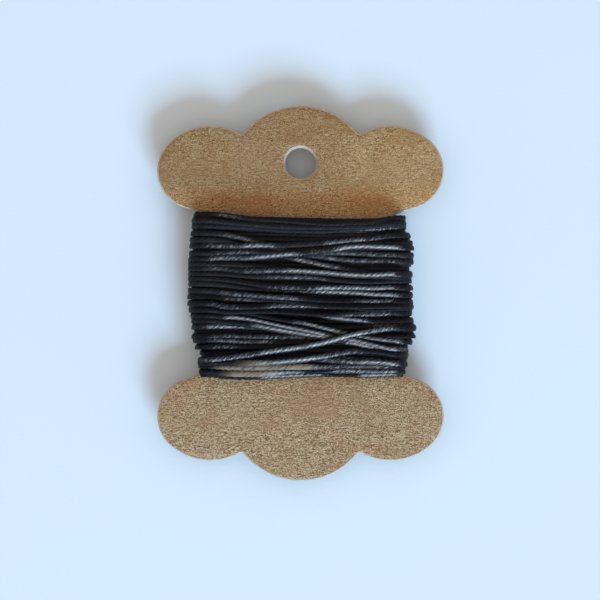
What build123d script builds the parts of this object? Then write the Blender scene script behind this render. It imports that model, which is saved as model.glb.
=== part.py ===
from build123d import *
import math
import os

os.makedirs("parts", exist_ok=True)

# Card bobbin wound with waxed thread, millimetres.
# Frame: the card lies flat in XY, the end with the hang hole points to +Y, the
# front face looks to +Z. The origin is under the middle of the card, on the
# flat of the back winding that the bobbin lies on (z = 0).

# ---- die-cut card -----------------------------------------------------------
card_half_length = 35.0        # tip of a middle lobe from the centre
card_half_width = 26.7         # outermost point of a side lobe from the centre
card_t = 0.8                   # board thickness
mid_lobe_r = 13.6              # round lobe in the middle of each end
side_lobe_r = 7.33             # main arc of each corner lobe
side_lobe_y = 22.95            # height of that arc's centre
shoulder_r = 11.4              # flatter arc between the corner lobe and the cusp
shoulder_from = 50.4           # where it takes over from the main arc, degrees
root_from = -73.0              # where the main arc runs out into the straight root
waist_half = 16.9              # half width of the waist that carries the thread
cusp_fillet = 0.5
waist_fillet = 1.2
hole_r = 3.0                   # hang hole
hole_y = 24.5

# ---- thread winding ---------------------------------------------------------
cord_d = 1.0                   # waxed thread
wind_build = 4.0               # build-up of the turns on each face of the card
wind_half_width = 21.0         # outermost turn on each side
wind_y0, wind_y1 = -16.2, 15.5 # spread of the turns along the card
wind_end_fillet = 1.6          # outer layers step back a little at both ends

card_z = wind_build            # back face of the card
wind_h = 2 * wind_build + card_t


def polar(cx, cy, r, deg):
    a = math.radians(deg)
    return (cx + r * math.cos(a), cy + r * math.sin(a))


def quarter():
    """Outline of one quarter, from the tip (0, half length) to the waist."""
    side_x = card_half_width - side_lobe_r
    mid_y = card_half_length - mid_lobe_r
    sh_x, sh_y = polar(side_x, side_lobe_y, side_lobe_r - shoulder_r, shoulder_from)
    # the cusp is where the middle lobe's circle crosses the shoulder's circle
    dx, dy = sh_x, sh_y - mid_y
    d = math.hypot(dx, dy)
    a = (mid_lobe_r ** 2 - shoulder_r ** 2 + d * d) / (2 * d)
    h = math.sqrt(mid_lobe_r ** 2 - a * a)
    cusp = (a * dx / d - h * dy / d, mid_y + a * dy / d + h * dx / d)
    if cusp[1] < mid_y:
        cusp = (a * dx / d + h * dy / d, mid_y + a * dy / d - h * dx / d)
    ang_mid = math.degrees(math.atan2(cusp[1] - mid_y, cusp[0]))
    ang_sh = math.degrees(math.atan2(cusp[1] - sh_y, cusp[0] - sh_x))
    tip = (0.0, card_half_length)
    t1 = polar(side_x, side_lobe_y, side_lobe_r, shoulder_from)
    t2 = polar(side_x, side_lobe_y, side_lobe_r, root_from)
    slope = math.tan(math.radians(90 + root_from))
    corner = (waist_half, t2[1] - (t2[0] - waist_half) * slope)
    segs = [
        ("arc", tip, polar(0, mid_y, mid_lobe_r, (90 + ang_mid) / 2), cusp),
        ("arc", cusp, polar(sh_x, sh_y, shoulder_r, (ang_sh + shoulder_from) / 2), t1),
        ("arc", t1, polar(side_x, side_lobe_y, side_lobe_r, (shoulder_from + root_from) / 2), t2),
        ("line", t2, corner),
        ("line", corner, (waist_half, 0.0)),
    ]
    return segs, cusp, corner


segs, cusp, corner = quarter()
edges = []
for sx, sy in ((1, 1), (1, -1), (-1, -1), (-1, 1)):
    for s in segs:
        pts = [(p[0] * sx, p[1] * sy) for p in s[1:]]
        if s[0] == "arc":
            edges.append(ThreePointArc(*pts))
        else:
            edges.append(Line(*pts))
outline = make_face(Wire(edges))
card = extrude(outline, card_t)


def near(e, pts):
    c = e.center()
    return any(math.hypot(c.X - x, c.Y - y) < 0.05 for x, y in pts)


quad = ((1, 1), (1, -1), (-1, -1), (-1, 1))
upright = card.edges().filter_by(Axis.Z)
card = fillet([e for e in upright if near(e, [(cusp[0] * i, cusp[1] * j) for i, j in quad])], cusp_fillet)
upright = card.edges().filter_by(Axis.Z)
card = fillet([e for e in upright if near(e, [(corner[0] * i, corner[1] * j) for i, j in quad])], waist_fillet)
card -= Pos(0, hole_y, card_t / 2) * Cylinder(hole_r, card_t * 3)
kraft_card = Pos(0, 0, card_z) * card

# Outer shape of the turns: flat on both faces, round where each turn goes over
# the edge of the waist, with the card taken out of it so that they meet face
# to face.
profile = Plane.XZ * Pos(0, wind_h / 2) * SlotOverall(2 * wind_half_width, wind_h)
winding = extrude(profile, wind_y1 - wind_y0)
winding = Pos(0, wind_y1 - winding.bounding_box().max.Y, 0) * winding
ends = [e for e in winding.edges() if abs(e.center().Y - wind_y0) < 0.01 or abs(e.center().Y - wind_y1) < 0.01]
winding = fillet(ends, wind_end_fillet)
thread_winding = winding - kraft_card

for name, shape in (("kraft_card", kraft_card), ("thread_winding", thread_winding)):
    solids = shape.solids()
    out = solids[0] if len(solids) == 1 else Compound(solids)
    export_step(out, f"parts/{name}.step")
    bb = out.bounding_box()
    print(name, "solids", len(solids), "volume %.1f" % out.volume,
          "box x %.2f..%.2f y %.2f..%.2f z %.2f..%.2f" % (bb.min.X, bb.max.X, bb.min.Y, bb.max.Y, bb.min.Z, bb.max.Z))
print("cusp", cusp, "waist corner", corner)
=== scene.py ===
import math
import bpy
import numpy as np
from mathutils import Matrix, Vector, geometry


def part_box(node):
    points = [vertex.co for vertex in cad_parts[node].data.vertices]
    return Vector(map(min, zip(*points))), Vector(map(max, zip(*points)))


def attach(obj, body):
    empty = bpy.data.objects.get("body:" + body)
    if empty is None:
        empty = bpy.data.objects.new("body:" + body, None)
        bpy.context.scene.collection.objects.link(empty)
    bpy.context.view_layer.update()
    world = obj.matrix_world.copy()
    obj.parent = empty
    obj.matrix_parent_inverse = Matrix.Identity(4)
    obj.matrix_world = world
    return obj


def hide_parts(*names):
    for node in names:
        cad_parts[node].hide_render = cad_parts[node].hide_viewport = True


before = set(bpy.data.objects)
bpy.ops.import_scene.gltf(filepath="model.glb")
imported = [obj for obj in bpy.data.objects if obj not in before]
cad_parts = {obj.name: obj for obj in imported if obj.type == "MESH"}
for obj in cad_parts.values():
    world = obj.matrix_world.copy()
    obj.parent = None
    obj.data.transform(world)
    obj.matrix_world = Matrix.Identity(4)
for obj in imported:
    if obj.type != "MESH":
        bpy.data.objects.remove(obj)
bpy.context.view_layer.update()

MM = 0.001
rng = np.random.RandomState(20881)

# =============================================================================
# Sizes read from the frame, in millimetres
# =============================================================================
card_lo, card_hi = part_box("kraft_card")
wind_lo, wind_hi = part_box("thread_winding")
CARD_Z0, CARD_Z1 = card_lo.z / MM, card_hi.z / MM
CARD_T = CARD_Z1 - CARD_Z0
ZC = 0.5 * (CARD_Z0 + CARD_Z1)
HALF_L = card_hi.y / MM
HALF_W = 26.7

# the same driving sizes as the CAD outline
MID_R, SIDE_R, SIDE_Y = 13.6, 7.33, 22.95
SHOULDER_R, SHOULDER_FROM, ROOT_FROM = 11.4, 50.4, -73.0
WAIST, CUSP_F, WAIST_F = 16.9, 0.5, 1.2
HOLE_R, HOLE_Y = 3.0, 24.5

CORD_D = 1.0          # waxed thread
PLY_PITCH = 3.3       # one full turn of the three plies


def new_obj(name, mesh, mats=()):
    ob = bpy.data.objects.new(name, mesh)
    bpy.context.scene.collection.objects.link(ob)
    for m in mats:
        mesh.materials.append(m)
    return ob


# =============================================================================
# Thread winding: each turn is laid over the turns already there
# =============================================================================
A = WAIST - CARD_T / 2       # the straight part of the waist's section
RB = CARD_T / 2              # its rounded board edge
INNER = (0.84, 0.80)         # how close two strands lie side by side, and over each other
OUTER = (0.72, 0.72)         # the last turns press into the ones below

# stations round the waist: left edge, front left to right, right edge, back right to left
flat_x = np.arange(-15.0, 15.01, 1.5)
fan = np.arange(-78, 78.1, 13)
B, N, KIND = [], [], []
for a in fan:
    t = math.radians(180 - a)
    B.append((-A + RB * math.cos(t), ZC + RB * math.sin(t))); N.append((math.cos(t), math.sin(t))); KIND.append(("left", a))
for x in [-A, *flat_x, A]:
    B.append((x, ZC + RB)); N.append((0, 1)); KIND.append(("front", x))
for a in fan[::-1]:
    t = math.radians(a)
    B.append((A + RB * math.cos(t), ZC + RB * math.sin(t))); N.append((math.cos(t), math.sin(t))); KIND.append(("right", a))
for x in [A, *flat_x[::-1], -A]:
    B.append((x, ZC - RB)); N.append((0, -1)); KIND.append(("back", x))
B, N = np.array(B, float), np.array(N, float)
NS = len(B)
PART = {k: np.array([j for j in range(NS) if KIND[j][0] == k]) for k in ("left", "front", "right", "back")}

# distance along the loop, for spreading a turn's sideways drift
FAN_R = 3.0
SPOS = np.zeros(NS)
for j, (k, v) in enumerate(KIND):
    if k == "left":
        SPOS[j] = FAN_R * math.radians(v + 90)
    elif k == "front":
        SPOS[j] = FAN_R * math.pi + (v + A)
    elif k == "right":
        SPOS[j] = FAN_R * math.pi + 2 * A + FAN_R * math.radians(90 - v)
    else:
        SPOS[j] = 2 * FAN_R * math.pi + 2 * A + (A - v)


def base_gap(y):
    """The card's own surface: at the ends of the notch its edge runs outwards."""
    ay = np.abs(y)
    out = np.maximum(0.0, ay + 0.1 - 14.3) / 0.306
    return CORD_D / 2 + 0.9 * out * np.abs(N[:, 0])


def hull_offsets(c):
    """A taut strand over the points c above the base: their convex hull, back as offsets."""
    P = B + N * c[:, None]
    idx = sorted(range(len(P)), key=lambda i: (P[i, 0], P[i, 1]))

    def half(order):
        h = []
        for i in order:
            while len(h) >= 2:
                a, b = P[h[-2]], P[h[-1]]
                if (b[0] - a[0]) * (P[i, 1] - a[1]) - (b[1] - a[1]) * (P[i, 0] - a[0]) <= 1e-12:
                    h.pop()
                else:
                    break
            h.append(i)
        return h
    lower, upper = half(idx), half(idx[::-1])
    h = lower[:-1] + upper[:-1]
    H = P[h]
    H2 = np.roll(H, -1, axis=0)
    E = H2 - H
    # B + N t = H + E s
    det = N[:, None, 0] * (-E[None, :, 1]) + N[:, None, 1] * E[None, :, 0]
    R = H[None] - B[:, None]
    with np.errstate(divide="ignore", invalid="ignore"):
        t = (R[..., 0] * (-E[None, :, 1]) + R[..., 1] * E[None, :, 0]) / det
        s = (N[:, None, 0] * R[..., 1] - N[:, None, 1] * R[..., 0]) / det
    ok = (np.abs(det) > 1e-9) & (s > -1e-6) & (s < 1 + 1e-6) & (t > 0)
    t = np.where(ok, t, -1)
    return np.maximum(t.max(1), c)


laid_y, laid_o = [], []
SETTLE = 2.75


def clearance(y, pack):
    c = base_gap(y)
    if laid_y:
        d_lat, d_ver = pack
        Y, O = np.array(laid_y), np.array(laid_o)
        d = np.abs(Y - y[None])
        w = np.sqrt(np.maximum(0.0, 1 - (d / d_lat) ** 2)) * d_ver
        c = np.maximum(c, np.where(d < d_lat, O + w, -9).max(0))
    return c


def lay(y, pack):
    c = clearance(y, pack)
    o = c + (hull_offsets(c) - c) * 0.85
    # a strand riding high is pulled down into the ones below it
    return np.where(o > SETTLE, SETTLE + (o - SETTLE) * 0.6, o)


def smooth_noise(n, scale, knots):
    k = rng.uniform(-1, 1, knots)
    x = np.linspace(0, knots - 1, n)
    i = np.clip(x.astype(int), 0, knots - 2)
    f = x - i
    f = f * f * (3 - 2 * f)
    return scale * (k[i] * (1 - f) + k[i + 1] * f)


# Routes of the visible strands on the front: height in mm at nine
# places from the left edge to the right edge. Worked out from where each strand
# is seen to run; the rows go from the hang-hole end to the other end.
FX = np.array([-18.7, -14.1, -9.4, -4.8, 0.0, 4.6, 9.2, 13.9, 18.5])
ROWS = {
    "t1": [14.75, 14.45, 13.8, 13.65, 13.3, 12.95, 13.05, 13.25, 14.3],
    "t2": [13.75, 13.25, 12.85, 12.5, 12.3, 12.3, 12.35, 12.5, 13.1],
    "t3": [12.6, 12.35, 12.2, 11.8, 11.65, 11.6, 11.95, 12.0, 12.7],
    "t4": [11.4, 10.9, 9.8, 8.6, 7.35, 6.6, 6.05, 5.95, 5.9],
    "t5": [10.0, 9.6, 8.4, 7.35, 6.25, 5.15, 4.4, 3.8, 3.3],
    "t6": [9.1, 8.7, 8.8, 8.85, 9.1, 9.4, 9.8, 10.3, 11.1],
    "t7": [7.35, 7.55, 7.7, 7.7, 7.65, 7.45, 7.45, 7.15, 7.0],
    "t8": [6.3, 6.6, 6.6, 6.95, 7.4, 7.9, 8.55, 8.65, 8.5],
    "t8b": [5.6, 5.5, 5.2, 4.75, 4.3, 3.9, 3.5, 3.2, 2.95],
    "t12": [4.8, 4.55, 4.1, 4.2, 4.1, 3.8, 3.4, 3.35, 3.8],
    "t13": [3.9, 3.65, 3.25, 3.05, 3.0, 2.7, 2.3, 2.2, 2.5],
    "t14": [3.0, 2.6, 1.95, 1.2, 1.0, 1.0, 1.0, 0.85, 1.25],
    "t15": [1.95, 1.6, 1.0, 0.6, 0.45, 0.25, 0.1, -0.25, -0.3],
    "t16": [0.8, 0.0, -0.4, -0.75, -1.0, -1.3, -1.4, -1.6, -1.3],
    "t17": [-0.2, -1.1, -1.15, -1.15, -1.7, -2.3, -2.4, -2.4, -2.2],
    "t18": [-1.3, -2.5, -2.5, -2.35, -2.35, -2.35, -2.5, -3.0, -2.4],
    "t19": [-2.6, -3.4, -3.3, -3.3, -3.6, -3.85, -3.85, -3.85, -3.5],
    "t19b": [-2.2, -2.6, -2.9, -2.9, -3.2, -4.3, -4.95, -5.15, -4.95],
    "t21b": [-3.0, -3.2, -3.7, -4.6, -5.5, -6.6, -7.7, -8.6, -9.1],
    "t22": [-6.2, -6.1, -6.2, -6.3, -6.4, -6.35, -6.2, -6.1, -6.1],
    "t20": [-4.0, -4.4, -4.95, -5.95, -6.85, -7.75, -8.6, -9.8, -10.8],
    "t21": [-4.9, -5.4, -5.85, -6.75, -7.55, -8.3, -9.15, -10.35, -11.25],
    "t24": [-7.9, -7.9, -8.0, -8.15, -8.2, -8.2, -8.1, -7.9, -7.8],
    "t24b": [-8.6, -8.8, -9.0, -9.0, -9.0, -9.1, -9.3, -9.6, -9.95],
    "t24c": [-9.9, -9.95, -9.9, -10.0, -10.3, -10.6, -10.9, -11.3, -12.2],
    "t25": [-12.0, -12.4, -12.6, -12.2, -12.0, -12.3, -12.7, -12.8, -13.2],
    "t27b": [-12.9, -12.9, -12.5, -12.0, -11.7, -11.8, -12.2, -12.4, -13.0],
    "t28": [-13.3, -13.6, -13.65, -13.6, -13.6, -13.6, -13.5, -13.5, -13.6],
    "t29": [-14.4, -14.85, -14.95, -14.85, -14.6, -14.4, -14.3, -14.5, -14.3],
    "t30": [-14.7, -15.35, -15.5, -15.4, -15.15, -15.0, -15.05, -15.15, -14.85],
    "t27a": [-12.9, -12.8, -12.95, -12.8, -12.35, -11.6, -10.8, -10.8, -11.6],
    "a": [-12.6, -12.1, -11.4, -10.7, -10.0, -9.1, -7.8, -6.9, -6.2],
}
# The thread is a little flat. Where its flat face is turned towards the lower end
# of the card, and the wax on it is whole, it catches the light: strand, then from x
# to x in mm, degrees of turn, and how whole the wax is there.
TURNED = {
    "t1": [(-15.5, -10.3, 12, 0.46)],
    "t3": [(12.0, 18.5, 16, 0.45)],
    "t4": [(-14.0, -7.0, 14, 0.50), (2.5, 18.5, 20, 0.45)],
    "t5": [(-0.8, 8.8, 16, 0.65)],
    "t6": [(-17.5, -10.0, 14, 0.50), (-10.5, -4.0, 22, 0.75), (5.0, 13.2, 16, 0.60), (13.0, 17.0, 10, 0.30)],
    "t7": [(-15.5, -7.5, 12, 0.38), (4.5, 19.0, 20, 0.42)],
    "t8": [(-17.0, -8.0, 14, 0.55), (-8.5, 0.3, 30, 0.84), (1.0, 7.5, 10, 0.35), (7.5, 19.0, 32, 1.00)],
    "t12": [(-17.5, -12.0, 12, 0.36), (-10.0, -2.0, 14, 0.50), (-2.5, 18.0, 32, 0.95)],
    "t13": [(-6.5, 5.5, 14, 0.40)],
    "t14": [(-5.5, 2.0, 14, 0.42), (2.5, 18.0, 24, 0.74)],
    "t15": [(-5.5, 3.0, 12, 0.40), (3.0, 18.5, 26, 0.80)],
    "t16": [(-15.0, 1.5, 16, 0.48), (10.5, 17.8, 22, 0.60)],
    "t17": [(-15.0, -7.5, 16, 0.52)],
    "t18": [(-17.0, -10.5, 12, 0.38), (-6.0, 8.5, 14, 0.50)],
    "t19": [(8.0, 17.8, 12, 0.48)],
    "t19b": [(1.8, 13.0, 34, 0.90)],
    "t20": [(-13.0, 6.0, 34, 1.10), (9.0, 19.5, 28, 0.90)],
    "t21": [(-8.0, 6.0, 32, 1.10), (9.0, 19.5, 28, 0.95)],
    "t21b": [(-0.3, 8.8, 28, 0.85), (11.0, 19.3, 26, 0.72)],
    "t22": [(-18.0, 0.5, 16, 0.62), (13.5, 19.0, 20, 0.55)],
    "t24": [(-16.5, -8.5, 14, 0.42), (-9.5, 3.5, 12, 0.48)],
    "t24b": [(-16.5, -4.0, 16, 0.45)],
    "t24c": [(-16.5, -11.0, 14, 0.42)],
    "a": [(-18.0, -7.0, 14, 0.62), (-7.5, 2.5, 24, 0.85), (1.5, 13.0, 32, 1.10), (12.5, 18.3, 22, 0.70)],
    "t27a": [(-8.5, -3.5, 24, 0.75), (-4.5, 5.0, 32, 1.00), (4.0, 12.0, 14, 0.52)],
    "t25": [(4.0, 12.0, 14, 0.52), (11.0, 18.5, 30, 0.90)],
    "t27b": [(4.0, 17.0, 14, 0.42)],
    "t28": [(0.5, 17.0, 14, 0.48)],
    "t29": [(-6.0, 1.0, 28, 0.85), (6.0, 18.5, 18, 0.62)],
    "t30": [(-7.0, 5.0, 26, 0.85), (11.5, 18.5, 28, 0.85)],
}
# painted highlight: a pale beige painted on a few lower strands stands in for a warm reflection: from x to x in mm,
# and how much
PAINTED_SHEEN = {"t28": (-14.9, 2.5, 1.0), "t29": (-13.0, -4.0, 1.0), "t27a": (-10.5, -5.0, 0.40)}
FIRST_PASS = ["t30", "t29", "t28", "t27b", "t25", "t24c", "t24b", "t24", "t22", "t21b", "t19b", "t19", "t18",
              "t17", "t16", "t15", "t14", "t13", "t8b", "t5", "t4", "t7", "t3", "t2", "t1"]
SECOND_PASS = ["t6", "t8", "t12", "t21", "t20", "t27a", "a"]


def front_route(row):
    def f(x):
        # smooth through the nine heights
        x = np.clip(x, FX[0], FX[-1])
        i = np.clip(np.searchsorted(FX, x) - 1, 0, len(FX) - 2)
        r = np.array(row)
        m = np.gradient(r, FX)
        h = FX[i + 1] - FX[i]
        t = (x - FX[i]) / h
        return ((2 * t ** 3 - 3 * t ** 2 + 1) * r[i] + (t ** 3 - 2 * t ** 2 + t) * h * m[i]
                + (-2 * t ** 3 + 3 * t ** 2) * r[i + 1] + (t ** 3 - t ** 2) * h * m[i + 1])
    return f


def end_heights(front):
    return float(front(np.array([-A - 1.2]))[0]), float(front(np.array([A + 1.2]))[0])


def turn_y(front, next_left, wobble, bow=0.0, noise=None):
    """One turn's y at each station: the left edge, the front, the right edge, and the back run to the next left edge."""
    fl, fr = end_heights(front)
    y = np.zeros(NS)
    y[PART["left"]] = fl
    y[PART["right"]] = fr
    y[PART["front"]] = front(np.array([KIND[j][1] for j in PART["front"]]))
    js = PART["back"]
    q = (SPOS[js] - SPOS[js[0]]) / (SPOS[js[-1]] - SPOS[js[0]])
    q2 = q * q * (3 - 2 * q) * 0.4 + q * 0.6
    y[js] = fr + (next_left - fr) * q2 + bow * np.sin(math.pi * q)
    # the edges take up part of the drift
    for part, a, b in (("left", None, "front"), ("right", "front", "back")):
        j = PART[part]
        m = len(j)
        t = (np.arange(m) + 1) / (m + 1)
        y1 = y[PART[b][0]]
        y0 = y[PART[a][-1]] if a else fl
        y[j] = y0 + (y1 - y0) * t
    e = noise if noise is not None else smooth_noise(NS, wobble, 9)
    return y + e


# the list of turns: hidden layers first, then the strands that show
turns = []
PITCH = 0.955
# the topmost turns sag a little in the middle and to the right of it
SAG_X, SAG_Y = [-16, -12, -9, -5, 0, 4, 8, 14, 17, 20], [0, 0.18, 0.36, 0.42, 0.52, 0.64, 0.74, 0.74, 0.42, 0]
for li, n in enumerate((30, 29, 30)):
    ys = (np.arange(n) - (n - 1) / 2) * PITCH + 0.18    # each layer lies in the grooves of the one below
    if li % 2 == 0:
        ys = ys[::-1]
    for y in ys:
        tilt = rng.uniform(-1, 1) * (0.02, 0.03, 0.10)[li]
        bow = rng.uniform(-1, 1) * (0.02, 0.03, 0.08)[li]
        turns.append(("in%d" % li, (lambda x, y=y, tilt=tilt, bow=bow: y + tilt * x / A + bow * np.cos(x / A * 1.57)
                                   - np.interp(x, SAG_X, SAG_Y) * np.clip((y - 8.5) / 5.5, 0, 1))))
for name in FIRST_PASS + SECOND_PASS:
    turns.append((name, front_route(ROWS[name])))

TAIL_X = -10.5
TAIL_Y = ([-10.5, 0, 9, 18], [-12.8, -10.0, -7.5, -6.3])

ends = [end_heights(f) for _, f in turns]
paths, tail_o = [], None
for k, (name, front) in enumerate(turns):
    next_left = ends[k + 1][0] if k + 1 < len(turns) else -13.0
    noise = smooth_noise(NS, {"in0": 0.01, "in1": 0.02, "in2": 0.04}.get(name, 0.04), 9)
    noise[:3] *= (0.25, 0.5, 0.75); noise[-3:] *= (0.75, 0.5, 0.25)
    if name == "t21":
        # the free end of the thread lies on the back before the last turns go over it
        yt = np.full(NS, 99.0)
        for j in PART["back"]:
            if KIND[j][1] >= TAIL_X:
                yt[j] = np.interp(KIND[j][1], *TAIL_Y)
        ct = clearance(np.where(yt > 50, 40.0, yt), OUTER)
        ct = np.where(ct > SETTLE, SETTLE + (ct - SETTLE) * 0.5, ct)
        tail_o = np.where(yt > 50, -9.0, ct)
        laid_y.append(yt); laid_o.append(tail_o)
    # on the back a taut strand slips sideways to where it lies lowest
    best = None
    for bow in ((0.0,) if name in ("in0", "in1") else (0.0, -0.5, 0.5, -1.0, 1.0, -1.5, 1.5)):
        y = turn_y(front, next_left, 0.0, bow, noise)
        o = lay(y, INNER if name.startswith("in") else OUTER)
        ob = o[PART["back"]]
        cost = ob.mean() + 0.6 * ob.max() + 0.03 * abs(bow)
        if best is None or cost < best[0]:
            best = (cost, y, o)
    y, o = best[1], best[2]
    if k + 1 == len(turns):
        for j in PART["back"]:
            if KIND[j][1] < TAIL_X:
                y[j], o[j] = 99.0, -9.0
                continue
            w = min(1.0, max(0.0, (A - KIND[j][1]) / 6.0))
            w = w * w * (3 - 2 * w)
            y[j] = y[j] * (1 - w) + float(np.interp(KIND[j][1], *TAIL_Y)) * w
            o[j] = o[j] * (1 - w) + tail_o[j] * w
    laid_y.append(y); laid_o.append(o)
    paths.append([name, y, o])

ctrl, cnorm, cexp, cturn, croll, cbloom, cwax = [], [], [], [], [], [], []
Y_all, O_all = np.array(laid_y), np.array(laid_o)


def exposed(y, o, j):
    """How much of the strand's width has nothing over it at this station."""
    d = Y_all[:, j] - y
    over = (np.abs(d) < 1.0) & (O_all[:, j] > o + 0.25)
    lo, hi = d[over] - 0.5, d[over] + 0.5
    q = np.linspace(-0.5, 0.5, 11)
    if not len(lo):
        return 1.0
    cov = ((q[:, None] > lo[None]) & (q[:, None] < hi[None])).any(1)
    return 1 - cov.mean()


# the winding is a little narrower near its ends than in the middle
LEFT_BOW = ([-15.5, -13.5, -12.0, -10.8, -9.5, -8, -5, -3, -1, 2, 5, 9, 12, 15.2],
            [-2.1, -1.4, -1.8, -1.45, -0.55, -0.15, -0.1, 0.2, 0.7, 0.5, 0.55, 0.25, -0.05, -0.35])
RIGHT_BOW = ([-15.5, -14.2, -12.0, -10.0, -8.6, -7, -4, -1, 1, 3.5, 5, 8, 10, 12.0, 13.4, 14.2, 15.2],
             [-1.8, -1.0, -0.5, -0.6, 0.8, 1.1, 0.45, 0.5, 0.6, 0.05, 0.6, 0.8, 0.45, -0.6, -1.1, -0.65, -0.8])


def stretch(x, x0, x1, soft=1.6):
    t = min(max((min(x - x0, x1 - x) + soft / 2) / soft, 0.0), 1.0)
    return t * t * (3 - 2 * t)


roll_noise = smooth_noise(len(paths) * NS, 20.0, len(paths) * 5)
for k, (name, y, o) in enumerate(paths):
    # round the edges the turns stand a little further out than on the flats
    out = 0.62 * np.clip(o / 1.5, 0, 1) - 0.15 * np.maximum(0, o - 1.9)
    if name.startswith("in"):
        out += 0.35 * np.clip((o - 0.9) / 0.9, 0, 1)
    else:
        out += 0.45 * (3.1 - o) * np.clip((o - 1.0) / 1.0, 0, 1)
    bow = np.where(N[:, 0] < 0, np.interp(y, *LEFT_BOW), np.interp(y, *RIGHT_BOW))
    out += bow * np.clip((o - 0.5) / 1.6, 0, 1)
    P = B + N * (o + out * N[:, 0] ** 2)[:, None]
    for j in range(NS):
        if y[j] > 50:
            continue
        roll, bloom, wax = -14.0 + roll_noise[k * NS + j], 0.0, 0.0
        if N[j, 1] > 0.4:
            for x0, x1, deg, whole in TURNED.get(name, ()):
                w = stretch(P[j, 0], x0, x1, 4.0)
                roll = roll * (1 - w) + deg * w
                wax = max(wax, w * whole)
            # painted highlight: how much pale beige is painted on this stretch
            if name in PAINTED_SHEEN:
                bloom = stretch(P[j, 0], *PAINTED_SHEEN[name][:2], 3.0) * PAINTED_SHEEN[name][2]
        croll.append(roll)
        cbloom.append(bloom)
        cwax.append(wax)
        ctrl.append((P[j, 0], y[j], P[j, 1]))
        cnorm.append((N[j, 0], 0.0, N[j, 1]))
        cexp.append(exposed(y[j], o[j], j))
        cturn.append(k)
croll, cbloom, cwax = np.array(croll), np.array(cbloom), np.array(cwax)
ctrl, cnorm, cexp, cturn = np.array(ctrl), np.array(cnorm), np.array(cexp), np.array(cturn)
# ease the small step where one turn ends and the next begins
for k in range(1, len(paths)):
    i = k * NS
    o1, o2 = paths[k - 1][2][-1], paths[k][2][0]
    gap = o1 - o2
    for m in range(7):
        w = 0.5 * (1 - (m + 0.5) / 7) * gap
        ctrl[i + m] += w * cnorm[i + m]
        ctrl[i - 1 - m] -= w * cnorm[i - 1 - m]
print("turns", len(paths), "controls", len(ctrl), "y", ctrl[:, 1].min(), ctrl[:, 1].max(), "z", ctrl[:, 2].min() - .5, ctrl[:, 2].max() + .5,
      "x", ctrl[:, 0].min() - .5, ctrl[:, 0].max() + .5)

# one NURBS spline through the whole winding, read back as a plain line
cu = bpy.data.curves.new("thread_route", "CURVE")
cu.dimensions = "3D"
cu.resolution_u = 4
sp = cu.splines.new("NURBS")
sp.points.add(len(ctrl) - 1)
flat4 = np.ones((len(ctrl), 4))
flat4[:, :3] = ctrl * MM
sp.points.foreach_set("co", flat4.ravel())
sp.order_u = 3
sp.use_endpoint_u = True
sp.resolution_u = 4
route_ob = bpy.data.objects.new("thread_route", cu)
bpy.context.scene.collection.objects.link(route_ob)
line = bpy.data.meshes.new_from_object(route_ob)
Q = np.empty(len(line.vertices) * 3)
line.vertices.foreach_get("co", Q)
Q = Q.reshape(-1, 3) / MM
bpy.data.objects.remove(route_ob)
bpy.data.curves.remove(cu)
bpy.data.meshes.remove(line)
seg = np.linalg.norm(np.diff(Q, axis=0), axis=1)
keep = np.r_[True, seg > 1e-6]
Q = Q[keep]
seg = np.linalg.norm(np.diff(Q, axis=0), axis=1)
S = np.r_[0, np.cumsum(seg)]
TOTAL = S[-1]
print("thread length mm", TOTAL, "line points", len(Q))

# each control point's place along the line, to carry its facts over
U = np.linspace(0, len(ctrl) - 1, len(Q))


def along(values):
    return np.interp(U, np.arange(len(ctrl)), values)


QN = np.stack([along(cnorm[:, 0]), along(cnorm[:, 1]), along(cnorm[:, 2])], 1)
QE = along(cexp)
Q_ROLL, Q_PAINTED_SHEEN, Q_WAX = along(croll), along(cbloom), along(cwax)
# a strand that is only hidden for a moment keeps its fine rings
win = 5
pad = np.pad(QE, win, mode="edge")
QE = np.max([pad[i:i + len(QE)] for i in range(0, 2 * win + 1, 2)], axis=0)

# ring positions: close together where a strand shows, far apart under other turns
SHOWS = 0.3
FINE, COARSE = 0.42, 3.2
step_at = np.where(QE > SHOWS, FINE, COARSE)
curv = np.abs(QN[:, 0])                       # on the edges
step_at = np.where((QE <= SHOWS) & (curv > 0.05), 1.5, step_at)
rings = [0.0]
while rings[-1] < TOTAL:
    rings.append(rings[-1] + float(np.interp(rings[-1], S, step_at)))
rings[-1] = TOTAL
rings = np.array(rings)
R_P = np.stack([np.interp(rings, S, Q[:, i]) for i in range(3)], 1)
T = np.gradient(R_P, axis=0)
T /= np.linalg.norm(T, axis=1)[:, None]
R_N = np.stack([np.interp(rings, S, QN[:, i]) for i in range(3)], 1)
R_N -= (R_N * T).sum(1)[:, None] * T
R_N /= np.linalg.norm(R_N, axis=1)[:, None]
R_B = np.cross(T, R_N)
R_E = np.interp(rings, S, QE)
adv = np.where(R_E > SHOWS, np.diff(rings, prepend=0), 0.0)
R_TH = np.cumsum(adv) / PLY_PITCH * 2 * math.pi
NV = 9
# three plies pressed together: crowns at 0, 120 and 240 degrees, each with a
# vertex either side of it, and one vertex down in each groove
phi = math.radians(20) + np.arange(NV) * 2 * math.pi / NV
ply = np.abs(((phi + math.pi / 3) % (2 * math.pi / 3)) - math.pi / 3)
RP, DP = 0.335, 0.155
prof = DP * np.cos(ply) + np.sqrt(np.maximum(0, RP ** 2 - (DP * np.sin(ply)) ** 2))
nr = len(rings)
ang = phi[None] - R_TH[:, None]
size = 1 + 0.03 * np.interp(rings, np.linspace(0, TOTAL, int(TOTAL / 9)), rng.uniform(-1, 1, int(TOTAL / 9)))
rad = prof[None] * size[:, None]
# the two cut ends
end_dist = np.minimum(rings, TOTAL - rings)
rad = rad * np.clip(0.72 + 0.28 * end_dist / 0.8, 0, 1)[:, None]
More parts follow.
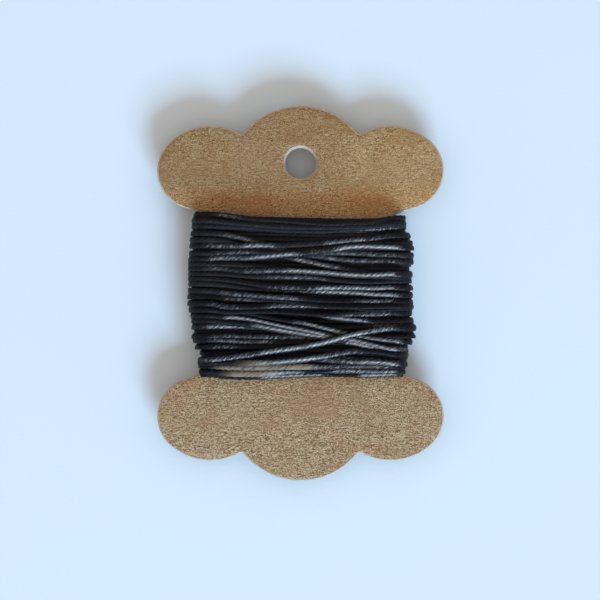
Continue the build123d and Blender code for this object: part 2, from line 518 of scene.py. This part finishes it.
# pressed flat: thinner one way, wider the other, with the flat face turned by roll
THIN, WIDE = 0.62, 1.32
roll = np.radians(np.interp(rings, S, Q_ROLL))[:, None]
vn, vb_ = rad * np.cos(ang), rad * np.sin(ang)
f_n, f_b = vn * np.cos(roll) + vb_ * np.sin(roll), -vn * np.sin(roll) + vb_ * np.cos(roll)
f_n, f_b = f_n * THIN, f_b * WIDE
vn, vb_ = f_n * np.cos(roll) - f_b * np.sin(roll), f_n * np.sin(roll) + f_b * np.cos(roll)
V = R_P[:, None, :] + vn[..., None] * R_N[:, None, :] + vb_[..., None] * R_B[:, None, :]
V = V.reshape(-1, 3)
print("rings", nr, "quads", (nr - 1) * NV, "fine share", float((R_E > SHOWS).mean()))
i0 = np.arange(nr - 1)[:, None] * NV
a_ = np.arange(NV)[None]
b_ = (a_ + 1) % NV
faces = np.stack([i0 + a_, i0 + b_, i0 + NV + b_, i0 + NV + a_], -1).reshape(-1, 4).tolist()
faces.append(list(range(NV))[::-1])
faces.append([(nr - 1) * NV + i for i in range(NV)])
me = bpy.data.meshes.new("waxed_thread")
me.from_pydata((V * MM).tolist(), [], faces)
me.update()
me.shade_smooth()
# u runs along the thread in turns of the plies, v round it and with the plies
uv = me.uv_layers.new(name="thread")
uvs = np.zeros((len(me.loops), 2), np.float32)
u_of = np.broadcast_to((rings / PLY_PITCH)[:, None], (nr, NV))
ub = np.stack([u_of[:-1], u_of[:-1], u_of[1:], u_of[1:]], -1).reshape(-1)
v0 = np.broadcast_to(a_ / NV, (nr - 1, NV))
vb = np.stack([v0, v0 + 1 / NV, v0 + 1 / NV, v0], -1).reshape(-1)
uvs[:len(ub), 0] = ub
uvs[:len(vb), 1] = vb
uv.data.foreach_set("uv", uvs.ravel())
for word, vals in (("bloom", Q_PAINTED_SHEEN), ("wax", Q_WAX)):
    at = me.attributes.new(word, "FLOAT", "POINT")
    at.data.foreach_set("value", np.repeat(np.interp(rings, S, vals), NV).astype(np.float32))


# =============================================================================
# Die-cut card
# =============================================================================
def arc(c, r, a0, a1, step=0.3):
    n = max(2, int(abs(math.radians(a1 - a0)) * r / step) + 1)
    t = np.radians(np.linspace(a0, a1, n))
    return np.stack([c[0] + r * np.cos(t), c[1] + r * np.sin(t)], 1)


def quarter():
    """One quarter of the outline, from the tip of the middle lobe down to the waist."""
    side, mid = np.array([HALF_W - SIDE_R, SIDE_Y]), np.array([0.0, HALF_L - MID_R])
    t = math.radians(SHOULDER_FROM)
    sh = side + (SIDE_R - SHOULDER_R) * np.array([math.cos(t), math.sin(t)])
    # small round in the cusp, touching both lobes from outside
    r1, r2 = MID_R + CUSP_F, SHOULDER_R + CUSP_F
    d = sh - mid
    L = np.linalg.norm(d)
    q = (r1 ** 2 - r2 ** 2 + L * L) / (2 * L)
    h = math.sqrt(r1 ** 2 - q * q)
    e = d / L
    cand = [mid + e * q + s * h * np.array([-e[1], e[0]]) for s in (1, -1)]
    f = max(cand, key=lambda p: p[1])
    a_mid = math.degrees(math.atan2(*(f - mid)[::-1]))
    a_sh = math.degrees(math.atan2(*(f - sh)[::-1]))
    pts = [arc(mid, MID_R, 90, a_mid)]
    pts.append(arc(f, CUSP_F, a_mid + 180, a_sh + 180 + (360 if a_sh < a_mid - 180 else 0), 0.12)[1:])
    pts.append(arc(sh, SHOULDER_R, a_sh, SHOULDER_FROM)[1:])
    pts.append(arc(side, SIDE_R, SHOULDER_FROM, ROOT_FROM)[1:])
    t = math.radians(ROOT_FROM)
    t2 = side + SIDE_R * np.array([math.cos(t), math.sin(t)])
    slope = math.tan(math.radians(90 + ROOT_FROM))
    corner = np.array([WAIST, t2[1] - (t2[0] - WAIST) * slope])
    u1 = (t2 - corner) / np.linalg.norm(t2 - corner)
    u2 = np.array([0.0, -1.0])
    half = math.acos(float(u1 @ u2)) / 2
    tl = WAIST_F / math.tan(half)
    p1, p2 = corner + u1 * tl, corner + u2 * tl
    c = corner + (u1 + u2) / np.linalg.norm(u1 + u2) * (WAIST_F / math.sin(half))
    n1 = max(2, int(np.linalg.norm(t2 - p1) / 0.35))
    pts.append(np.linspace(t2, p1, n1)[1:])
    a1, a2 = math.degrees(math.atan2(*(p1 - c)[::-1])), math.degrees(math.atan2(*(p2 - c)[::-1]))
    if a2 - a1 > 180:
        a2 -= 360
    if a2 - a1 < -180:
        a2 += 360
    pts.append(arc(c, WAIST_F, a1, a2, 0.2)[1:])
    pts.append(np.linspace(p2, (WAIST, 0.0), 40)[1:])
    return np.concatenate(pts)


q1 = quarter()
q4 = (q1 * (1, -1))[::-1][1:]
q3 = (q1 * (-1, -1))[1:]
q2 = (q1 * (-1, 1))[::-1][1:-1]
loop = np.concatenate([q1, q4, q3, q2])
nl = len(loop)
tan = np.roll(loop, -1, axis=0) - np.roll(loop, 1, axis=0)
tan /= np.linalg.norm(tan, axis=1)[:, None]
inward = np.stack([tan[:, 1], -tan[:, 0]], 1)
assert ((loop + inward)[:, 0] ** 2).sum() < (loop[:, 0] ** 2).sum()

nh = 72
th = np.arange(nh) * 2 * math.pi / nh
hole_dir = np.stack([np.cos(th), np.sin(th)], 1)
HT = CARD_T / 2
# the cutting rule presses the front edge round and leaves a sharper back edge
EDGE = [(HT, 0.33), (HT - 0.07, 0.20), (HT - 0.18, 0.08), (HT - 0.32, 0.0), (0.0, 0.0), (-HT + 0.10, 0.0), (-HT + 0.03, 0.025), (-HT, 0.08)]
# the punched hole narrows a little towards the back, and the punch leant a little
HOLE_EDGE = [0.17, 0.10, 0.055, 0.03, -0.04, -0.10, -0.125, -0.10]
HOLE_LEAN = 0.26


def rough(n, scale, knots):
    k = rng.uniform(-1, 1, knots)
    x = np.arange(n) * knots / n
    i = x.astype(int)
    f = x - i
    return scale * (k[i % knots] * (1 - f) + k[(i + 1) % knots] * f)


cv = []
for z, inset in EDGE:
    j = rough(nl, 0.010, 420) + rough(nl, 0.006, 900)
    p = loop + inward * (inset + j)[:, None]
    cv.append(np.column_stack([p, np.full(nl, z)]))
hv = []
for (z, _), wider in zip(EDGE, HOLE_EDGE):
    j = rough(nh, 0.012, 40)
    p = np.array([0, HOLE_Y - HOLE_LEAN * (HT - z) / CARD_T]) + hole_dir * (HOLE_R + wider + j)[:, None]
    hv.append(np.column_stack([p, np.full(nh, z)]))


def inside(P, poly):
    x, y = P[:, 0][:, None], P[:, 1][:, None]
    x0, y0 = poly[:, 0][None], poly[:, 1][None]
    x1, y1 = np.roll(poly[:, 0], -1)[None], np.roll(poly[:, 1], -1)[None]
    with np.errstate(divide="ignore", invalid="ignore"):
        hit = ((y0 > y) != (y1 > y)) & (x < (x1 - x0) * (y - y0) / (y1 - y0) + x0)
    return hit.sum(1) % 2 == 1


G = 1.0
gy = np.arange(-HALF_L, HALF_L, G * 0.866)
grid = np.array([(x + (G / 2 if r % 2 else 0), y) for r, y in enumerate(gy) for x in np.arange(-HALF_W - 1, HALF_W + 1, G)])
grid += rng.uniform(-0.12, 0.12, grid.shape)
safe = loop + inward * 0.75
grid = grid[inside(grid, safe)]
grid = grid[np.hypot(grid[:, 0], grid[:, 1] - HOLE_Y) > HOLE_R + 0.75]

cverts = [v for ring in cv for v in ring] + [v for ring in hv for v in ring]
cfaces = []
ne = len(EDGE)
for k in range(ne - 1):
    for i in range(nl):
        j = (i + 1) % nl
        cfaces.append((k * nl + i, k * nl + j, (k + 1) * nl + j, (k + 1) * nl + i))
hb = ne * nl
for k in range(ne - 1):
    for i in range(nh):
        j = (i + 1) % nh
        cfaces.append((hb + k * nh + i, hb + k * nh + j, hb + (k + 1) * nh + j, hb + (k + 1) * nh + i))
for k, z in ((0, HT), (ne - 1, -HT)):
    outer, hole = cv[k][:, :2], hv[k][:, :2]
    pts = np.concatenate([outer, hole, grid])
    ed = [(i, (i + 1) % nl) for i in range(nl)] + [(nl + i, nl + (i + 1) % nh) for i in range(nh)]
    out = geometry.delaunay_2d_cdt([Vector(p) for p in pts], ed, [], 0, 1e-7)
    base = len(cverts)
    gid = {}
    for gi, p in enumerate(grid):
        gid[nl + nh + gi] = base + gi
        cverts.append(np.array([p[0], p[1], z]))
    idx = []
    for src in out[3]:
        s0 = src[0]
        idx.append(k * nl + s0 if s0 < nl else (hb + k * nh + s0 - nl if s0 < nl + nh else gid[s0]))
    tri = np.array([t for t in out[2] if len(t) == 3])
    oc = np.array([(v.x, v.y) for v in out[0]])
    cen = oc[tri].mean(1)
    ok = inside(cen, outer) & ~inside(cen, hole)
    for t in tri[ok]:
        f = [idx[i] for i in t]
        cfaces.append(tuple(f) if k == 0 else tuple(f[::-1]))
cverts = np.array(cverts)
# board is never quite flat, and the waist is held by the thread
X, Y = cverts[:, 0], cverts[:, 1]
wav = 0.030 * np.sin(X * 0.16 + 0.7) * np.cos(Y * 0.11 - 0.4) + 0.016 * np.sin(X * 0.43 + Y * 0.21 + 2.0) + 0.010 * np.sin(X * 0.27 - Y * 0.61)
cverts[:, 2] += ZC + wav * np.clip((np.abs(Y) - 9) / 12, 0, 1)
# and its two ends sag a little towards the table
cverts[:, 2] -= 0.55 * (np.clip(np.abs(Y) - 11, 0, None) / 24) ** 2
card_me = bpy.data.meshes.new("kraft_card")
card_me.from_pydata((cverts * MM).tolist(), [], cfaces)
card_me.update()
import bmesh
bm = bmesh.new()
bm.from_mesh(card_me)
bmesh.ops.recalc_face_normals(bm, faces=bm.faces)
bm.to_mesh(card_me)
bm.free()
card_me.shade_smooth()
print("card faces", len(card_me.polygons))


# =============================================================================
# Materials
# =============================================================================
class Mat:
    """A small helper to wire shader nodes."""
    def __init__(self, name):
        self.m = bpy.data.materials.new(name)
        self.m.use_nodes = True
        self.t = self.m.node_tree
        self.t.nodes.clear()
        self.out = self.t.nodes.new("ShaderNodeOutputMaterial")

    def node(self, kind, **kw):
        n = self.t.nodes.new(kind)
        for k, v in kw.items():
            setattr(n, k, v)
        return n

    def link(self, a, b):
        self.t.links.new(a, b)

    def put(self, sock, v):
        if hasattr(v, "is_linked"):
            self.link(v, sock)
        else:
            sock.default_value = v

    def math(self, op, a, b=0.0, c=0.0, clamp=False):
        n = self.node("ShaderNodeMath", operation=op, use_clamp=clamp)
        for s_, v in zip(n.inputs, (a, b, c)):
            self.put(s_, v)
        return n.outputs[0]

    def vmath(self, op, a, b=(0, 0, 0)):
        n = self.node("ShaderNodeVectorMath", operation=op)
        self.put(n.inputs[0], a)
        self.put(n.inputs[1], b)
        return n.outputs[0]

    def noise(self, vec, scale=1.0, detail=2.0, rough=0.5, distort=0.0):
        n = self.node("ShaderNodeTexNoise")
        self.put(n.inputs["Vector"], vec)
        n.inputs["Scale"].default_value = scale
        n.inputs["Detail"].default_value = detail
        n.inputs["Roughness"].default_value = rough
        n.inputs["Distortion"].default_value = distort
        return n.outputs["Fac"]

    def ramp(self, fac, stops):
        n = self.node("ShaderNodeValToRGB")
        r = n.color_ramp
        while len(r.elements) < len(stops):
            r.elements.new(0.5)
        for e, (p, c) in zip(r.elements, stops):
            e.position = p
            e.color = (c, c, c, 1) if not hasattr(c, "__len__") else (*c, 1)
        self.put(n.inputs[0], fac)
        return n.outputs["Color"]

    def fade(self, x, lo, hi):
        n = self.node("ShaderNodeMapRange", interpolation_type="SMOOTHSTEP")
        self.put(n.inputs[0], x)
        n.inputs[1].default_value, n.inputs[2].default_value = lo, hi
        return n.outputs[0]

    def mix(self, fac, a, b, kind="MIX"):
        n = self.node("ShaderNodeMix", data_type="RGBA", blend_type=kind)
        self.put(n.inputs[0], fac)
        for s_, v in ((n.inputs[6], a), (n.inputs[7], b)):
            self.put(s_, (*v, 1) if hasattr(v, "__len__") else v)
        return n.outputs[2]

    def bump(self, height, dist, strength=1.0, normal=None):
        n = self.node("ShaderNodeBump")
        n.inputs["Strength"].default_value = strength
        n.inputs["Distance"].default_value = dist
        self.link(height, n.inputs["Height"])
        if normal is not None:
            self.link(normal, n.inputs["Normal"])
        return n.outputs["Normal"]


def kraft_material():
    m = Mat("kraft_board")
    P = m.vmath("SCALE", m.node("ShaderNodeTexCoord").outputs["Object"])
    P.node.inputs["Scale"].default_value = 1000.0          # millimetres
    sep = m.node("ShaderNodeSeparateXYZ")
    m.link(P, sep.inputs[0])
    rot = m.node("ShaderNodeMapping")
    m.link(P, rot.inputs["Vector"])
    rot.inputs["Rotation"].default_value = (0, 0, math.radians(12))
    # pulp fibres, most of them lying across the card
    f1 = m.noise(m.vmath("MULTIPLY", P, (1.2, 5.2, 1.0)), 1.0, 2.0, 0.60, 0.6)
    f2 = m.noise(m.vmath("MULTIPLY", rot.outputs[0], (2.2, 5.0, 1.0)), 1.0, 2.0, 0.60, 0.9)
    f3 = m.noise(m.vmath("MULTIPLY", P, (4.6, 5.4, 3.0)), 1.0, 1.0, 0.6, 0.0)
    cloud = m.noise(m.vmath("MULTIPLY", P, (0.11, 0.17, 0.1)), 1.0, 3.0, 0.55, 0.3)
    fib = m.math("ADD", m.math("MULTIPLY", f1, 0.33), m.math("ADD", m.math("MULTIPLY", f2, 0.23), m.math("MULTIPLY", f3, 0.44)))
    fib = m.math("SUBTRACT", fib, 0.5)
    # they show more where the board was rubbed, towards its lower end
    rub = m.math("ADD", 1.20, m.math("MULTIPLY", m.fade(sep.outputs[1], -6.0, -18.0), 0.62))
    fib = m.math("ADD", m.math("MULTIPLY", fib, rub), 0.5)
    col = m.ramp(fib, [(0.34, (0.130, 0.062, 0.020)), (0.445, (0.262, 0.147, 0.056)), (0.50, (0.358, 0.221, 0.097)), (0.555, (0.437, 0.298, 0.155)), (0.66, (0.57, 0.43, 0.265))])
    col = m.mix(m.math("MULTIPLY", m.fade(cloud, 0.46, 0.66), 0.42), col, (0.315, 0.155, 0.058))
    col = m.mix(m.math("MULTIPLY", m.fade(cloud, 0.50, 0.32), 0.20), col, (0.40, 0.27, 0.155))
    # painted light: the board is painted paler and bluer towards its lower end, the end facing the window light,
    # and painted shade darkens it at the top left
    col = m.mix(m.math("MULTIPLY", m.fade(sep.outputs[1], -8.0, -24.0), 1.0), col, (1.05, 1.13, 1.26), "MULTIPLY")
    top_left_shade_axis = m.math("ADD", sep.outputs[1], m.math("MULTIPLY", sep.outputs[0], -0.75))
    col = m.mix(m.fade(top_left_shade_axis, 8.0, 34.0), col, (0.90, 0.885, 0.85), "MULTIPLY")
    # painted light: warm light is painted into the winding's cast shadow along its upper edge, and painted light
    # makes the top right paler
    near = m.math("MULTIPLY", m.fade(sep.outputs[1], 21.0, 17.5), m.fade(sep.outputs[1], 0.0, 5.0))
    col = m.mix(near, col, (1.17, 1.07, 1.02), "MULTIPLY")
    right = m.math("MULTIPLY", m.fade(sep.outputs[0], 3.0, 12.0), m.fade(sep.outputs[1], 12.0, 20.0))
    col = m.mix(right, col, (1.10, 1.12, 1.07), "MULTIPLY")
    # pale loose fibres and a few darker ones
    pale = m.noise(m.vmath("MULTIPLY", m.vmath("ADD", P, (13.0, 7.0, 0.0)), (0.62, 4.6, 1.0)), 1.0, 1.0, 0.5, 1.1)
    col = m.mix(m.math("MULTIPLY", m.fade(pale, 0.69, 0.76), 0.65), col, (0.62, 0.47, 0.31))
    dark = m.noise(m.vmath("MULTIPLY", m.vmath("ADD", rot.outputs[0], (31.0, -9.0, 0.0)), (0.85, 4.2, 1.0)), 1.0, 1.0, 0.5, 1.4)
    col = m.mix(m.math("MULTIPLY", m.fade(dark, 0.30, 0.23), 0.55), col, (0.15, 0.065, 0.025))
    # specks of bark
    vor = m.node("ShaderNodeTexVoronoi", voronoi_dimensions="2D")
    m.link(m.vmath("MULTIPLY", P, (0.21, 0.25, 1.0)), vor.inputs["Vector"])
    vor.inputs["Scale"].default_value = 1.0
    pick = m.node("ShaderNodeSeparateColor")
    m.link(vor.outputs["Color"], pick.inputs[0])
    few = m.math("GREATER_THAN", pick.outputs[0], 0.80)
    speck = m.math("MULTIPLY", m.fade(vor.outputs["Distance"], 0.040, 0.018), few)
    col = m.mix(m.math("MULTIPLY", speck, 0.85), col, (0.050, 0.024, 0.014))
    # cut edge: pressed layers of board
    nz = m.node("ShaderNodeSeparateXYZ")
    m.link(m.node("ShaderNodeTexCoord").outputs["Normal"], nz.inputs[0])
    edge = m.fade(m.math("ABSOLUTE", nz.outputs[2]), 0.97, 0.80)
    lay_ = m.noise(m.vmath("MULTIPLY", P, (1.1, 1.1, 11.0)), 1.0, 2.0, 0.6, 0.2)
    ecol = m.ramp(lay_, [(0.35, (0.42, 0.30, 0.215)), (0.52, (0.58, 0.45, 0.345)), (0.66, (0.70, 0.57, 0.46))])
    col = m.mix(edge, col, ecol)
    b = m.node("ShaderNodeBsdfPrincipled")
    m.link(col, b.inputs["Base Color"])
    m.put(b.inputs["Roughness"], m.math("ADD", 0.74, m.math("MULTIPLY", f3, 0.22)))
    b.inputs["Specular IOR Level"].default_value = 0.32
    relief = m.math("ADD", m.math("MULTIPLY", fib, 1.0), m.math("MULTIPLY", m.fade(pale, 0.66, 0.76), 0.25))
    relief = m.math("ADD", relief, m.math("MULTIPLY", m.math("MULTIPLY", lay_, edge), 1.2))
    m.link(m.bump(relief, 0.00014, 0.9), b.inputs["Normal"])
    m.link(b.outputs[0], m.out.inputs[0])
    return m.m


def thread_material():
    m = Mat("waxed_thread")
    uvn = m.node("ShaderNodeUVMap", uv_map="thread")
    sep = m.node("ShaderNodeSeparateXYZ")
    m.link(uvn.outputs[0], sep.inputs[0])
    u, v = sep.outputs[0], sep.outputs[1]
    P = m.vmath("SCALE", m.node("ShaderNodeTexCoord").outputs["Object"])
    P.node.inputs["Scale"].default_value = 1000.0
    # circle coordinates, so that nothing jumps where v closes
    va = m.math("MULTIPLY", v, 2 * math.pi)
    ring = m.node("ShaderNodeCombineXYZ")
    m.put(ring.inputs[0], m.math("MULTIPLY", u, 1.0))
    m.put(ring.inputs[1], m.math("COSINE", va))
    m.put(ring.inputs[2], m.math("SINE", va))
    # filaments run along each ply
    fil = m.noise(m.vmath("MULTIPLY", ring.outputs[0], (1.6, 7.0, 7.0)), 1.0, 2.0, 0.6, 0.0)
    # the wax lies in stretches along the thread: thick and glossy, or rubbed and dull
    line = m.node("ShaderNodeCombineXYZ")
    m.put(line.inputs[0], m.math("MULTIPLY", u, 0.115))
    wax = m.noise(line.outputs[0], 1.0, 2.0, 0.5, 0.0)
    crumb = m.noise(m.vmath("MULTIPLY", ring.outputs[0], (2.2, 1.4, 1.4)), 1.0, 3.0, 0.65, 0.0)
    whole = m.node("ShaderNodeAttribute", attribute_name="wax").outputs["Fac"]
    dash = m.noise(m.vmath("MULTIPLY", ring.outputs[0], (5.5, 2.4, 2.4)), 1.0, 2.0, 0.6, 0.4)
    # where the wax is not whole it breaks up into dashes
    thick = m.math("ADD", whole, m.math("MULTIPLY", m.math("SUBTRACT", dash, 0.5), 2.4))
    thick = m.math("MULTIPLY", m.fade(thick, 0.30, 1.02), m.fade(whole, 0.02, 0.30))
    # down in the three grooves between the plies there is little wax and less light
    crown = m.math("COSINE", m.math("ADD", m.math("MULTIPLY", va, 3.0), math.radians(60)))
    crown = m.math("ADD", crown, m.math("MULTIPLY", m.math("SUBTRACT", fil, 0.5), 1.6))
    crown = m.math("ADD", crown, m.math("MULTIPLY", m.math("SUBTRACT", crumb, 0.5), 2.2))
    groove = m.fade(crown, -0.30, -1.0)
    py = m.node("ShaderNodeSeparateXYZ")
    m.link(P, py.inputs[0])
    # the rubbed, dull stretches are greyer towards the hang hole
    grey = m.math("MULTIPLY", m.math("ADD", m.math("MULTIPLY", m.fade(wax, 0.60, 0.38), 0.75), 0.25),
                  m.math("ADD", m.math("MULTIPLY", m.fade(py.outputs[1], -6.0, 5.0), 0.7), 0.3))
    dull = m.mix(grey, (0.0045, 0.0045, 0.0072), (0.024, 0.0235, 0.0255))
    col = m.mix(m.fade(fil, 0.30, 0.7), m.mix(0.55, dull, (0.002, 0.002, 0.004)), dull)
    col = m.mix(m.math("MULTIPLY", m.fade(crumb, 0.52, 0.78), 0.22), col, (0.024, 0.024, 0.027))
    # painted highlight: pale beige mixed into the base colour of those strands stands in for a warm reflection; the
    # gloss there is also a little rougher
    bloom = m.node("ShaderNodeAttribute", attribute_name="bloom").outputs["Fac"]
    painted_sheen_mask = m.math("MULTIPLY", bloom, m.fade(crumb, 0.28, 0.52))
    col = m.mix(m.math("MULTIPLY", painted_sheen_mask, 0.85), col, m.mix(m.fade(fil, 0.35, 0.65), (0.20, 0.165, 0.125), (0.37, 0.315, 0.240)))
    b = m.node("ShaderNodeBsdfPrincipled")
    m.link(col, b.inputs["Base Color"])
    ro = m.math("ADD", 0.42, m.math("MULTIPLY", thick, 0.04))
    ro = m.math("ADD", ro, m.math("MULTIPLY", m.math("SUBTRACT", crumb, 0.5), 0.20))
    m.put(b.inputs["Roughness"], m.math("ADD", ro, m.math("MULTIPLY", painted_sheen_mask, 0.2)))
    b.inputs["IOR"].default_value = 1.50
    level = m.math("ADD", 0.09, m.math("MULTIPLY", m.fade(wax, 0.42, 0.66), 0.10))
    level = m.math("ADD", level, m.math("MULTIPLY", m.fade(dash, 0.52, 0.76), 0.30))
    level = m.math("ADD", level, m.math("MULTIPLY", thick, 2.45))
    yarn = m.noise(m.vmath("MULTIPLY", ring.outputs[0], (3.2, 3.0, 3.0)), 1.0, 1.0, 0.5, 0.0)
    dim = m.math("ADD", m.math("MULTIPLY", groove, 0.40), m.math("MULTIPLY", m.fade(yarn, 0.47, 0.36), 0.55))
    dim = m.math("MULTIPLY", dim, m.math("ADD", m.math("MULTIPLY", thick, 0.75), 0.25), clamp=True)
    # painted reflection: on the side of each strand that faces the hang hole the gloss is set lower and tinted
    # bluer, standing in for how the light falls there
    ny = m.node("ShaderNodeSeparateXYZ")
    m.link(m.node("ShaderNodeTexCoord").outputs["Normal"], ny.inputs[0])
    painted_dim_side = m.fade(ny.outputs[1], -0.10, 0.45)
    level = m.math("MULTIPLY", level, m.math("SUBTRACT", 1.0, m.math("MULTIPLY", painted_dim_side, 0.42)))
    m.put(b.inputs["Specular IOR Level"], m.math("MULTIPLY", level, m.math("SUBTRACT", 1.0, dim)))
    # the filaments spread the gloss across themselves, not along
    b.inputs["Anisotropic"].default_value = 0.7
    b.inputs["Anisotropic Rotation"].default_value = 0.25
    m.link(m.node("ShaderNodeTangent", direction_type="UV_MAP", uv_map="thread").outputs[0], b.inputs["Tangent"])
    # painted reflection: the specular tint turns bluer on the side facing the hang hole
    m.link(m.mix(painted_dim_side, (0.985, 0.93, 0.895), (0.68, 0.84, 1.0)), b.inputs["Specular Tint"])
    h = m.math("ADD", m.math("MULTIPLY", fil, 0.8), m.math("MULTIPLY", crumb, 0.5))
    n = m.bump(h, 0.00006, 0.8)
    m.link(n, b.inputs["Normal"])
    m.link(b.outputs[0], m.out.inputs[0])
    return m.m


def floor_material():
    m = Mat("pale_table")
    P = m.vmath("SCALE", m.node("ShaderNodeTexCoord").outputs["Object"])
    P.node.inputs["Scale"].default_value = 1000.0
    n1 = m.noise(m.vmath("MULTIPLY", P, (0.02, 0.02, 0.02)), 1.0, 2.0)
    n2 = m.noise(P, 1.6, 2.0)
    col = m.mix(n1, (0.73, 0.82, 0.89), (0.75, 0.84, 0.91))
    b = m.node("ShaderNodeBsdfPrincipled")
    m.link(col, b.inputs["Base Color"])
    b.inputs["Roughness"].default_value = 0.9
    b.inputs["Specular IOR Level"].default_value = 0.1
    m.link(m.bump(n2, 0.00004, 0.4), b.inputs["Normal"])
    m.link(b.outputs[0], m.out.inputs[0])
    return m.m


card = new_obj("kraft_card_board", card_me, [kraft_material()])
thread = new_obj("waxed_thread", me, [thread_material()])

# =============================================================================
# Floor, light and camera
# =============================================================================
fm = bpy.data.meshes.new("table_top")
fm.from_pydata([(-1.5, -1.5, 0), (1.5, -1.5, 0), (1.5, 1.5, 0), (-1.5, 1.5, 0)], [], [(0, 1, 2, 3)])
floor = new_obj("table_top", fm, [floor_material()])

# soft room light, a little stronger from overhead
world = bpy.data.worlds.new("room")
bpy.context.scene.world = world
world.use_nodes = True
wt = world.node_tree
bg = wt.nodes["Background"]
wc = wt.nodes.new("ShaderNodeTexCoord")
wx = wt.nodes.new("ShaderNodeSeparateXYZ")
wp = wt.nodes.new("ShaderNodeMath"); wp.operation = "POWER"; wp.use_clamp = True; wp.inputs[1].default_value = 2.0
wm = wt.nodes.new("ShaderNodeMath"); wm.operation = "MULTIPLY_ADD"; wm.inputs[1].default_value = 0.18; wm.inputs[2].default_value = 0.47
wt.links.new(wc.outputs["Generated"], wx.inputs[0])
wt.links.new(wx.outputs[2], wp.inputs[0])
wt.links.new(wp.outputs[0], wm.inputs[0])
wt.links.new(wm.outputs[0], bg.inputs[1])
bg.inputs[0].default_value = (1.107, 1.0, 0.923, 1)

# a window-sized soft light, cooler than the room
KEY_AZ, KEY_EL, KEY_DIST = 21.0, 27.5, 3.0      # degrees from -Y towards +X, degrees up, metres
KEY_W, KEY_H = 1.45, 1.05
lamp = bpy.data.lights.new("window", "AREA")
lamp.shape = "RECTANGLE"
lamp.size, lamp.size_y = KEY_W, KEY_H
lamp.color = (0.474, 0.736, 1.0)
lamp.energy = 120.0
key = bpy.data.objects.new("window", lamp)
bpy.context.scene.collection.objects.link(key)
az, el = math.radians(KEY_AZ), math.radians(KEY_EL)
aim = Vector((0, 0, ZC * MM))
key.location = aim + KEY_DIST * Vector((math.sin(az) * math.cos(el), -math.cos(az) * math.cos(el), math.sin(el)))
key.rotation_euler = (aim - key.location).to_track_quat("-Z", "Y").to_euler()

cam_data = bpy.data.cameras.new("camera")
cam = bpy.data.objects.new("camera", cam_data)
bpy.context.scene.collection.objects.link(cam)
CAM_H = 0.60
cam.location = (-0.00010, -0.00122, CARD_Z1 * MM + CAM_H)
cam.rotation_euler = (0, 0, 0)
cam_data.sensor_width = 36.0
cam_data.lens = 36.0 * CAM_H / 0.11184
cam_data.clip_start = 0.01
bpy.context.scene.camera = cam
bpy.context.scene.view_settings.view_transform = "Standard"
bpy.context.scene.view_settings.look = "None"

# =============================================================================
# Hand the pieces over to the frame
# =============================================================================
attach(card, "root")
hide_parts("kraft_card")
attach(thread, "root")
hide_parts("thread_winding")
